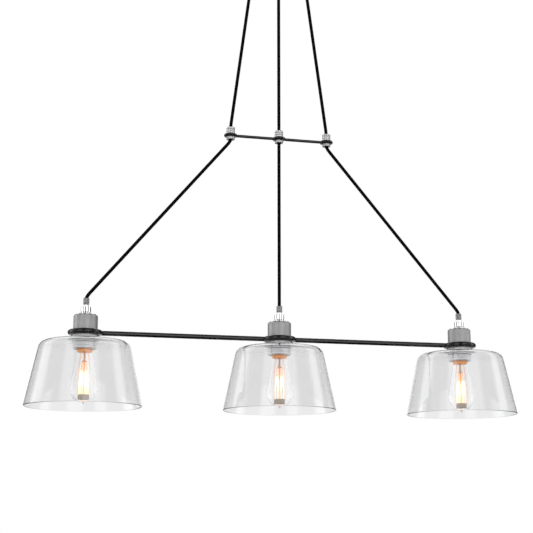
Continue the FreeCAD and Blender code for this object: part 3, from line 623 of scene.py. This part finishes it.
class PENDANT_OT_canopy_grips(bpy.types.Operator):
    """Make the cord grips under the canopy"""

    bl_idname = "pendant.canopy_grips"
    bl_label = "Canopy grips"

    def execute(self, context):
        sizes = context.scene.pendant_sizes
        edge = sizes.edge_round / MM
        for side in SIDES:
            node = f"canopy_grip_{side}"
            outline = [
                Corner(3.4, 1.6), Corner(5.0, 0.0, edge), Corner(6.5, 0.0, 1.2),
                Corner(6.5, 7.0), Corner(6.1, 7.3), Corner(6.1, 8.3), Corner(6.5, 8.6),
                Corner(6.5, 16.0), Corner(8.0, 16.0, edge, 1.0), Corner(8.0, 20.0, edge, 1.0),
                Corner(4.6, 20.0), *thread(5.0, 0.4, 1.0, 21.0, 29.0), Corner(4.6, 29.5),
                Corner(3.4, 29.5),
            ]
            grip = spun(f"{node}_turned", outline, foot_of(node), 112, 3,
                        flutes(28, sizes.knurl_depth / (8.0 * MM)))
            dress(grip, finish_of("grip"), "ceiling_mount", "brushed_nickel", node)
        return {"FINISHED"}


# ---- Cords ----

CORD_RADIUS = 3.3 * MM
CORD_TUCK = 1.6 * MM
CANOPY_MOUTH = -45.0 * MM
FERRULE_MOUTH = -368.3 * MM
FERRULE_FOOT = -393.7 * MM
LAMP_MOUTH = -729.0 * MM
CANOPY_SPACING = 58.0 * MM
SPREADER_SPACING = 100.0 * MM


def make_cord(node, body, top, bottom, sizes):
    """A taut cord that leaves each mouth upright and bends into its straight run."""
    down = Vector(top) - UP * sizes.cord_bend
    up = Vector(bottom) + UP * sizes.cord_bend
    run = (up - down).normalized() * sizes.cord_ease
    route = [Vector(top) + UP * CORD_TUCK, down, down + run, up - run, up,
             Vector(bottom) - UP * CORD_TUCK]
    curve = bpy.data.curves.new(f"{node}_line", "CURVE")
    curve.dimensions = "3D"
    curve.bevel_depth = CORD_RADIUS
    curve.bevel_resolution = 6
    curve.resolution_u = 16
    curve.use_fill_caps = True
    spline = curve.splines.new("NURBS")
    spline.points.add(len(route) - 1)
    for point, place in zip(spline.points, route):
        point.co = (*place, 1.0)
    spline.order_u = 3
    spline.use_endpoint_u = True
    cord = bpy.data.objects.new(f"{node}_line", curve)
    bpy.context.scene.collection.objects.link(cord)
    dress(cord, finish_of("cord"), body, "black_cord", node)
    return cord


class PENDANT_OT_cords(bpy.types.Operator):
    """Make the cords above and below the spreader"""

    bl_idname = "pendant.cords"
    bl_label = "Cords"

    def execute(self, context):
        sizes = context.scene.pendant_sizes
        lamp = abs(lamp_place("left").x)
        for number, side in enumerate(SIDES):
            way = number - 1
            make_cord(f"upper_cord_{side}", "upper_hanger",
                      (CANOPY_SPACING * way, 0.0, CANOPY_MOUTH),
                      (SPREADER_SPACING * way, 0.0, FERRULE_MOUTH),
                      sizes)
            make_cord(f"lower_cord_{side}", "lower_hanger",
                      (SPREADER_SPACING * way, 0.0, FERRULE_FOOT),
                      (lamp * way, 0.0, LAMP_MOUTH), sizes)
        return {"FINISHED"}


# ---- Spreader and lamp bar ----

def hammer(node, voxel, swell, sizes):
    """Forge a solid's surface: an even mesh of it, swollen a little and dented by blows."""
    piece = finish_node(node, finish_of("iron"))
    remesh = piece.modifiers.new("Even mesh", "REMESH")
    remesh.mode = "VOXEL"
    remesh.voxel_size = voxel
    remesh.use_smooth_shade = True
    dents = bpy.data.textures.new(f"{node}_dents", "VORONOI")
    dents.noise_scale = sizes.hammer_spread
    blows = piece.modifiers.new("Hammer blows", "DISPLACE")
    blows.texture = dents
    blows.texture_coords = "LOCAL"
    blows.strength = sizes.hammer_depth
    blows.mid_level = 0.35 - swell / sizes.hammer_depth
    smooth = piece.modifiers.new("Soften", "SMOOTH")
    smooth.factor = 0.5
    smooth.iterations = 2
    return piece


class PENDANT_OT_spreader(bpy.types.Operator):
    """Hammer the spreader bar"""

    bl_idname = "pendant.spreader"
    bl_label = "Spreader bar"

    def execute(self, context):
        hammer("spreader_bar", 0.5 * MM, 0.45 * MM, context.scene.pendant_sizes)
        return {"FINISHED"}


class PENDANT_OT_lamp_bar(bpy.types.Operator):
    """Hammer the lamp bar and its rings"""

    bl_idname = "pendant.lamp_bar"
    bl_label = "Lamp bar"

    def execute(self, context):
        hammer("lamp_bar", 0.8 * MM, 0.0, context.scene.pendant_sizes)
        return {"FINISHED"}


class PENDANT_OT_ferrules(bpy.types.Operator):
    """Make the ribbed ferrules and their nuts"""

    bl_idname = "pendant.ferrules"
    bl_label = "Ferrules"

    def execute(self, context):
        sizes = context.scene.pendant_sizes
        edge = sizes.edge_round / MM
        for side in SIDES:
            node = f"cord_ferrule_{side}"
            outline = [Corner(3.4, 1.6), Corner(5.0, 0.0), Corner(6.9, 0.0, edge),
                       Corner(7.2, 0.4), *thread(7.2, 0.25, 1.0, 1.0, 6.0), Corner(7.2, 6.4),
                       Corner(7.2, 11.4), Corner(8.5, 11.4, edge)]
            for low in (15.3, 19.9):
                outline += [Corner(8.5, low, 0.5), Corner(7.6, low + 0.4, 0.2),
                            Corner(7.6, low + 1.2, 0.2), Corner(8.5, low + 1.6, 0.5)]
            outline += [Corner(8.5, 25.4, 1.0), Corner(5.0, 25.4, edge), Corner(3.4, 23.8)]
            ferrule = spun(f"{node}_turned", outline, foot_of(node), 96)
            dress(ferrule, finish_of("nickel"), "upper_hanger", "brushed_nickel", node)
            node = f"ferrule_nut_{side}"
            outline = [
                Corner(7.3, 0.0), Corner(8.5, 0.0, 0.8, 1.0), Corner(8.5, 2.3, 0.2, 1.0),
                Corner(8.0, 2.6), Corner(8.0, 3.4), Corner(8.5, 3.7, 0.2, 1.0),
                Corner(8.5, 6.0, 0.8, 1.0), Corner(7.3, 6.0),
            ]
            nut = spun(f"{node}_turned", outline, foot_of(node), 128, 3,
                       flutes(32, sizes.knurl_depth / (8.5 * MM)))
            dress(nut, finish_of("nickel"), "upper_hanger", "brushed_nickel", node)
        return {"FINISHED"}


# ---- Sockets ----

class PENDANT_OT_lamp_grips(bpy.types.Operator):
    """Make the cord grips on top of the sockets"""

    bl_idname = "pendant.lamp_grips"
    bl_label = "Lamp grips"

    def execute(self, context):
        edge = context.scene.pendant_sizes.edge_round / MM
        for side in SIDES:
            node = f"lamp_grip_{side}"
            outline = [
                Corner(2.4, 0.0), Corner(3.7, 0.0), *thread(4.0, 0.3, 1.0, 0.3, 44.0),
                Corner(4.0, 45.0), Corner(5.1, 45.0), Corner(5.1, 46.6), Corner(5.8, 46.6, edge),
                Corner(5.8, 48.4, edge), Corner(5.5, 48.8), Corner(5.5, 49.3),
                Corner(5.8, 49.7, 0.2), Corner(5.8, 52.6, 0.2), Corner(5.45, 53.0),
                Corner(5.45, 53.6), Corner(5.8, 54.0, 0.2), Corner(5.8, 58.0, 1.4),
                Corner(5.0, 58.0, edge), Corner(3.4, 56.4), Corner(3.4, 46.6),
                Corner(2.4, 46.6),
            ]
            grip = spun(f"{node}_turned", outline, foot_of(node))
            dress(grip, finish_of("grip"), "lamp_frame", "brushed_nickel", node)
        return {"FINISHED"}


class PENDANT_OT_caps(bpy.types.Operator):
    """Make the polished caps of the sockets"""

    bl_idname = "pendant.caps"
    bl_label = "Socket caps"

    def execute(self, context):
        edge = context.scene.pendant_sizes.edge_round / MM
        for side in SIDES:
            node = f"socket_cap_{side}"
            outline = [
                Corner(4.2, 0.0), Corner(19.6, 0.0), Corner(19.6, 1.4, edge * 2),
                Corner(9.5, 6.0, 0.8), Corner(9.5, 15.6, edge * 2), Corner(5.2, 15.6, 0.6),
                Corner(5.2, 20.0, edge), Corner(4.2, 20.0),
            ]
            cap = spun(f"{node}_turned", outline, foot_of(node), 96, 4)
            dress(cap, finish_of("chrome"), "lamp_frame", "polished_chrome", node)
        return {"FINISHED"}


class PENDANT_OT_cups(bpy.types.Operator):
    """Make the satin cups of the sockets"""

    bl_idname = "pendant.cups"
    bl_label = "Socket cups"

    def execute(self, context):
        edge = context.scene.pendant_sizes.edge_round / MM
        for side in SIDES:
            node = f"socket_cup_{side}"
            outline = [
                Corner(20.9, 0.0, 0.2), Corner(24.3, 0.0, edge), Corner(25.5, 1.2, edge),
                Corner(25.5, seat_height(25.5), edge), Corner(22.9, seat_height(22.9), 0.8),
                Corner(22.9, 46.5, 2.5), Corner(12.0, 46.5, edge), Corner(12.0, 44.5),
                Corner(20.9, 44.5, 1.0),
            ]
            cup = spun(f"{node}_turned", outline, foot_of(node), 96, 4)
            dress(cup, finish_of("satin"), "lamp_frame", "satin_grey", node)
        return {"FINISHED"}


# The bar's ring as a cup meets it, in millimetres: the radius of its wire, the slack under it,
# the radius of its middle line, and the height of that line above the cup's foot.
RING_WIRE = 4.9
RING_SLACK = 0.2
RING_MIDDLE = 28.1
RING_HEIGHT = 13.5


def seat_height(radius):
    """Height above the cup's foot of the cone that the bar's ring rests on."""
    reach = (RING_WIRE + RING_SLACK) * math.sqrt(0.5)
    return RING_HEIGHT - reach + (RING_MIDDLE - reach) - radius


class PENDANT_OT_lampholders(bpy.types.Operator):
    """Finish the porcelain lampholders and the brass shells in them"""

    bl_idname = "pendant.lampholders"
    bl_label = "Lampholders"

    def execute(self, context):
        for side in SIDES:
            finish_node(f"lampholder_{side}", finish_of("porcelain"))
            finish_node(f"screw_shell_{side}", finish_of("brass"))
        return {"FINISHED"}


# ---- Shades and rings ----

# Radii, wall and heights of a shade in millimetres. The top leaves 0.1 mm of air under the cup.
SHADE_RIM = 110.0
SHADE_SHOULDER = 84.0
SHADE_WALL = 3.0
SHADE_SIDE = 121.5
SHADE_TOP = 125.4


class PENDANT_OT_shades(bpy.types.Operator):
    """Make the glass shades"""

    bl_idname = "pendant.shades"
    bl_label = "Shades"

    def execute(self, context):
        sizes = context.scene.pendant_sizes
        for side in SIDES:
            node = f"shade_{side}"
            flare = (SHADE_RIM - SHADE_SHOULDER) / SHADE_SIDE
            inner_shoulder = SHADE_SHOULDER - SHADE_WALL + flare * SHADE_WALL
            outline = [
                Corner(SHADE_RIM - SHADE_WALL, 0.0, 1.2), Corner(SHADE_RIM, 0.0, 1.2),
                Corner(SHADE_SHOULDER, SHADE_SIDE, 16.0), Corner(27.0, SHADE_TOP, 8.0),
                Corner(20.5, SHADE_TOP, 0.5), Corner(20.5, 122.5, 0.5), Corner(27.0, 122.5, 8.0),
                Corner(inner_shoulder, SHADE_SIDE - SHADE_WALL, 13.0),
            ]
            shade = spun(f"{node}_glass", outline, foot_of(node), sizes.shade_segments, 16)
            # Fine flat facets, each inner one parallel to its outer one as in real glass, bend
            # light more evenly at the shade's edges than smoothed ones.
            shade.modifiers.clear()
            shade.data.shade_flat()
            dress(shade, finish_of("glass"), f"{node}_glass", "clear_glass", node)
        return {"FINISHED"}


class PENDANT_OT_shade_rings(bpy.types.Operator):
    """Make the rings that hold the shades"""

    bl_idname = "pendant.shade_rings"
    bl_label = "Shade rings"

    def execute(self, context):
        for side in SIDES:
            node = f"shade_ring_{side}"
            outline = [Corner(20.3, 0.0, 0.3), Corner(23.4, 0.0, 1.2)]
            for number in (1, 2):
                low = 5.0 * number - 0.8
                outline += [Corner(23.4, low, 0.4), Corner(22.7, low + 0.3, 0.2),
                            Corner(22.7, low + 1.3, 0.2), Corner(23.4, low + 1.6, 0.4)]
            outline += [Corner(23.4, 15.0, 0.8), Corner(20.3, 15.0, 0.3)]
            ring = spun(f"{node}_turned", outline, foot_of(node), 96, 4)
            dress(ring, finish_of("ring"), f"shade_{side}_ring", "polished_ring", node)
        return {"FINISHED"}


# ---- Bulbs ----

# Rise of the base's thread in one turn, in millimetres.
BASE_PITCH = 3.62


class PENDANT_OT_bulb_bases(bpy.types.Operator):
    """Make the screw bases and finish their contacts"""

    bl_idname = "pendant.bulb_bases"
    bl_label = "Bulb bases"

    def execute(self, context):
        for side in SIDES:
            finish_node(f"bulb_contact_{side}", finish_of("contact"))
            node = f"bulb_base_{side}"
            outline = [Corner(13.8, -3.0), Corner(14.3, -3.0, 0.2), Corner(14.3, 1.4, 0.5),
                       Corner(13.6, 2.0, 0.3), Corner(12.2, 2.0)]
            for number in range(5):
                crest = 2.0 + BASE_PITCH * (number + 0.75)
                outline += [Corner(12.2, crest - BASE_PITCH / 4, 0.6), Corner(13.0, crest, 0.7),
                            Corner(12.2, crest + BASE_PITCH / 4, 0.6)]
            outline += [Corner(12.2, 23.4, 1.0), Corner(0.0, 23.4), Corner(0.0, 22.6),
                        Corner(11.4, 22.6), Corner(11.4, 0.0), Corner(13.8, 0.0)]
            base = spun(f"{node}_turned", outline, foot_of(node), 72, 4)
            dress(base, finish_of("copper"), f"bulb_{side}", "copper_base", node)
        return {"FINISHED"}


def ball_and_cone(ball, centre, neck, neck_height, tip, steps):
    """Corners from the drawn tip round the ball and up the cone to the neck."""
    corners = []
    across, up = neck, neck_height - centre
    reach = across * across + up * up
    along = math.sqrt(reach - ball * ball)
    turn_across = (ball * ball * across + ball * along * up) / reach
    turn_up = (ball * ball * up - ball * along * across) / reach
    first = math.asin(tip / ball)
    last = math.pi - math.atan2(turn_across, turn_up)
    for step in range(steps + 1):
        angle = first + (last - first) * step / steps
        corners.append(Corner(ball * math.sin(angle), centre - ball * math.cos(angle)))
    corners.append(Corner(neck, neck_height))
    return corners


class PENDANT_OT_bulbs(bpy.types.Operator):
    """Make the glass bulbs"""

    bl_idname = "pendant.bulbs"
    bl_label = "Bulbs"

    def execute(self, context):
        for side in SIDES:
            node = f"bulb_envelope_{side}"
            outer = ball_and_cone(26.0, 29.2, 13.7, 100.2, 2.6, 22)
            inner = ball_and_cone(25.0, 29.2, 12.7, 99.2, 0.0, 22)
            outline = [
                Corner(0.0, 0.0), Corner(0.45, 0.15), Corner(0.8, 0.8), Corner(1.1, 1.9),
                Corner(1.6, 2.8), *outer, Corner(11.2, 100.2), Corner(11.2, 105.2),
                Corner(10.2, 105.2), Corner(10.2, 99.2), *reversed(inner),
            ]
            bulb = spun(f"{node}_glass", outline, foot_of(node), 96)
            dress(bulb, finish_of("bulb"), f"bulb_{side}", "bulb_glass", node)
        return {"FINISHED"}


FILAMENT_WIRES = 8
FILAMENT_TURN = 0.18
LEADS = 2
LEAD_TURN = -0.075
LEAD_WIDENING = 1.4
MAST_RADIUS = 1.1 * MM
MAST_HEIGHTS = (9, 30, 50, 70, 80, 93)


def wire_ring(name, foot, count, turn, reaches, width):
    """Like wires spaced round the mast from a turn on, each through radii and heights in
    millimetres."""
    wires = []
    for number in range(count):
        angle = 2 * math.pi * (number + turn) / count
        out = Vector((math.cos(angle), math.sin(angle), 0.0))
        line = [foot + out * radius * MM + UP * height * MM for radius, height in reaches]
        wires.append(tube(f"{name}_{number}", line, [width / 2] * len(line), 8))
    return merged(name, wires)


class PENDANT_OT_filaments(bpy.types.Operator):
    """Make the glowing wires, their glass stem, leads, mast and holder"""

    bl_idname = "pendant.filaments"
    bl_label = "Filaments"

    def execute(self, context):
        width = context.scene.pendant_sizes.wire_width
        for side in SIDES:
            node = f"bulb_filament_{side}"
            body = f"bulb_{side}"
            foot = foot_of(node)
            stem = spun(f"{node}_stem", [
                Corner(0.0, 72.4, 0.0), Corner(2.2, 72.4, 1.0), Corner(3.0, 76.0, 1.0),
                Corner(3.0, 90.0, 3.0), Corner(9.6, 94.2, 0.8), Corner(9.6, 96.4, 0.3),
                Corner(0.0, 96.4),
            ], foot, 48)
            dress(stem, finish_of("stem"), body, "bulb_glass")
            holder = spun(f"{node}_holder", [
                Corner(9.7, 0.0), Corner(10.5, 0.0, 0.3), Corner(10.5, 9.0, 0.5),
                Corner(0.0, 9.0), Corner(0.0, 8.2), Corner(9.7, 8.2),
            ], foot, 48)
            dress(holder, finish_of("mica"), body, "porcelain")
            mast = tube(f"{node}_mast", [foot + UP * height * MM for height in MAST_HEIGHTS],
                        [MAST_RADIUS] * len(MAST_HEIGHTS))
            hub = spun(f"{node}_hub", [
                Corner(0.0, 69.6), Corner(4.0, 69.6, 0.4), Corner(4.5, 70.4, 0.4),
                Corner(4.5, 71.6, 0.4), Corner(0.0, 72.4),
            ], foot, 32)
            dress(merged(f"{node}_mast", [mast, hub]), finish_of("mast"), body,
                  "glowing_filament")
            leads = wire_ring(f"{node}_leads", foot, LEADS, LEAD_TURN, (
                (9.9, 8.0), (11.6, 16.0), (11.2, 40.0), (9.8, 62.0), (7.6, 82.0), (6.4, 94.4)),
                width * LEAD_WIDENING)
            dress(leads, finish_of("lead"), body, "glowing_filament")
            cage = wire_ring(f"{node}_wires", foot, FILAMENT_WIRES, FILAMENT_TURN, (
                (8.6, 9.0), (9.0, 12.0), (8.6, 30.0), (7.0, 50.0), (5.0, 66.0), (3.8, 70.6)),
                width)
            dress(cage, finish_of("wire"), body, "glowing_filament", node)
        return {"FINISHED"}


# ---- Stage ----

CAMERA_PLACE = (-0.5631, -2.2230, -1.1341)
CAMERA_YAW = 0.2371
CAMERA_PITCH = 0.2085
FOCAL_PIXELS = 1182.4
PHOTO_SIDE = 533
SENSOR = 36.0
FLOOR_LEVEL = -2.4
WORLD_LIGHT = 0.62


# What polished pieces mirror: the studio's brightness at an azimuth, in degrees to the right of
# the camera's as seen from the pendant. Above and below that band it is dim in front and white
# behind. The share of the band is given at the height of a direction, from -1 down to 1 up.
STUDIO_ROUND = (
    (-180, 1.0), (-166, 1.0), (-156, 0.03), (-120, 0.03), (-108, 2.8), (-90, 2.8), (-78, 0.5),
    (-46, 0.5), (-36, 2.6), (-20, 2.6), (-12, 0.1), (6, 0.1), (14, 2.6), (38, 2.6),
    (48, 0.5), (78, 0.5), (88, 2.8), (100, 2.8), (112, 0.03), (154, 0.03), (166, 1.0),
    (180, 1.0),
)
STUDIO_BRIGHTEST = 2.8
STUDIO_BEYOND = ((-180, 1.0), (-110, 0.9), (-70, 0.04), (70, 0.04), (110, 0.9), (180, 1.0))
STUDIO_BAND = ((-0.5, 0.0), (-0.3, 1.0), (0.55, 1.0), (0.75, 0.0))
STUDIO_FLOOR = ((-0.5, 0.04), (-0.2, 1.0))


def aimed(thing, place, target):
    thing.location = place
    thing.rotation_euler = (Vector(target) - Vector(place)).to_track_quat("-Z", "Y").to_euler()
    bpy.context.scene.collection.objects.link(thing)
    return thing


def softbox(name, place, target, width, height, power):
    light = bpy.data.lights.new(name, "AREA")
    light.shape = "RECTANGLE"
    light.size, light.size_y = width, height
    light.energy = power
    lamp = aimed(bpy.data.objects.new(name, light), place, target)
    lamp.visible_glossy = False
    lamp.visible_transmission = False
    return lamp


def make_floor():
    radius, count = 7.0, 96
    angles = [2 * math.pi * number / count for number in range(count)]
    ring = [(radius * math.cos(angle), radius * math.sin(angle), FLOOR_LEVEL) for angle in angles]
    mesh = bpy.data.meshes.new("floor")
    mesh.from_pydata(ring, [], [tuple(range(count))])
    floor = bpy.data.objects.new("floor", mesh)
    bpy.context.scene.collection.objects.link(floor)
    made = Finish("pale floor", Roughness=0.9, Specular_IOR_Level=0.1)
    made.into("Base Color", made.ramp(made.noise(1.5), (0.3, (0.90, 0.90, 0.90)),
                                      (0.7, (0.93, 0.93, 0.93))))
    mesh.materials.append(made.material)
    floor.visible_glossy = False


def make_world():
    """White to the camera and through glass, plain to matt pieces, and a studio to mirrors."""
    world = bpy.data.worlds.new("studio")
    bpy.context.scene.world = world
    world.use_nodes = True
    studio = Nodes(world.node_tree, "Generated")
    axes = studio.node("ShaderNodeSeparateXYZ", {"Vector": studio.place})
    angle = studio.math("ARCTAN2", axes.outputs["Y"], axes.outputs["X"])
    ahead = math.atan2(CAMERA_PLACE[1], CAMERA_PLACE[0])
    turned = studio.math("SUBTRACT", angle, ahead - math.pi)
    share = studio.math("FRACT", studio.math("DIVIDE", turned, 2 * math.pi))
    band, beyond = [
        studio.ramp(share, *[((azimuth + 180) / 360, (level / STUDIO_BRIGHTEST,) * 3)
                             for azimuth, level in levels])
        for levels in (STUDIO_ROUND, STUDIO_BEYOND)]
    bright = studio.math("MULTIPLY", band, STUDIO_BRIGHTEST)
    rise = studio.math("MULTIPLY_ADD", axes.outputs["Z"], 0.5)
    rise.node.inputs[2].default_value = 0.5
    where, floor = [studio.ramp(rise, *[((z + 1) / 2, (level,) * 3) for z, level in levels])
                    for levels in (STUDIO_BAND, STUDIO_FLOOR)]
    plain = studio.math("MULTIPLY", studio.math("MULTIPLY", beyond, STUDIO_BRIGHTEST), floor)
    difference = studio.math("SUBTRACT", bright, plain)
    mirrored = studio.math("MULTIPLY_ADD", difference, where)
    studio.tree.links.new(plain, mirrored.node.inputs[2])
    path = studio.node("ShaderNodeLightPath")
    seen = studio.math("MAXIMUM", path.outputs["Is Camera Ray"],
                       path.outputs["Is Transmission Ray"])
    glossy = studio.math("MULTIPLY", path.outputs["Is Glossy Ray"],
                         studio.math("SUBTRACT", 1.0, seen))
    direct = studio.math("MULTIPLY_ADD", seen, 1.0 - WORLD_LIGHT)
    direct.node.inputs[2].default_value = WORLD_LIGHT
    excess = studio.math("SUBTRACT", mirrored, direct)
    strength = studio.math("MULTIPLY_ADD", excess, glossy)
    studio.tree.links.new(direct, strength.node.inputs[2])
    background = studio.tree.nodes["Background"]
    background.inputs["Color"].default_value = (1.0, 1.0, 1.0, 1.0)
    studio.tree.links.new(strength, background.inputs["Strength"])


class PENDANT_OT_stage(bpy.types.Operator):
    """Make the floor, the studio light and the camera"""

    bl_idname = "pendant.stage"
    bl_label = "Stage"

    def execute(self, context):
        scene = context.scene
        make_world()
        make_floor()
        heart = lamp_place("centre")
        softbox("key softbox", (-1.9, -1.7, 0.1), heart, 0.9, 1.5, 26.0)
        softbox("fill softbox", (2.1, -1.4, -0.5), heart, 0.7, 1.4, 16.0)
        softbox("rear softbox", (0.6, 2.2, 0.5), heart, 1.2, 1.0, 14.0)
        lens = bpy.data.cameras.new("camera")
        lens.sensor_width = SENSOR
        lens.lens = FOCAL_PIXELS / PHOTO_SIDE * SENSOR
        lens.clip_start, lens.clip_end = 0.05, 60.0
        camera = bpy.data.objects.new("camera", lens)
        forward = Vector((math.sin(CAMERA_YAW) * math.cos(CAMERA_PITCH),
                          math.cos(CAMERA_YAW) * math.cos(CAMERA_PITCH),
                          math.sin(CAMERA_PITCH)))
        aimed(camera, CAMERA_PLACE, Vector(CAMERA_PLACE) + forward)
        scene.camera = camera
        scene.view_settings.view_transform = "Standard"
        return {"FINISHED"}


# ---- Panel, registration and the whole pendant ----

OPERATORS = (
    PENDANT_OT_canopy, PENDANT_OT_fixings, PENDANT_OT_canopy_grips, PENDANT_OT_cords,
    PENDANT_OT_spreader, PENDANT_OT_ferrules, PENDANT_OT_lamp_bar, PENDANT_OT_lamp_grips,
    PENDANT_OT_caps, PENDANT_OT_cups, PENDANT_OT_lampholders, PENDANT_OT_shades,
    PENDANT_OT_shade_rings, PENDANT_OT_bulb_bases, PENDANT_OT_bulbs, PENDANT_OT_filaments,
    PENDANT_OT_stage,
)


class PENDANT_PT_sidebar(bpy.types.Panel):
    """The pendant's pieces, sizes and colours"""

    bl_idname = "PENDANT_PT_sidebar"
    bl_label = "Island pendant"
    bl_space_type = "VIEW_3D"
    bl_region_type = "UI"
    bl_category = "Pendant"

    def draw(self, context):
        for operator in OPERATORS:
            self.layout.operator(operator.bl_idname)
        for group in (context.scene.pendant_sizes, context.scene.pendant_colours):
            box = self.layout.box()
            for name in group.__annotations__:
                box.prop(group, name)


CLASSES = (PendantSizes, PendantColours, *OPERATORS, PENDANT_PT_sidebar)


def register():
    for each in CLASSES:
        bpy.utils.register_class(each)
    bpy.types.Scene.pendant_sizes = PointerProperty(type=PendantSizes)
    bpy.types.Scene.pendant_colours = PointerProperty(type=PendantColours)


def unregister():
    del bpy.types.Scene.pendant_colours
    del bpy.types.Scene.pendant_sizes
    for each in reversed(CLASSES):
        bpy.utils.unregister_class(each)


def main():
    register()
    for operator in OPERATORS:
        group, name = operator.bl_idname.split(".")
        getattr(getattr(bpy.ops, group), name)()


if __name__ == "__main__":
    main()
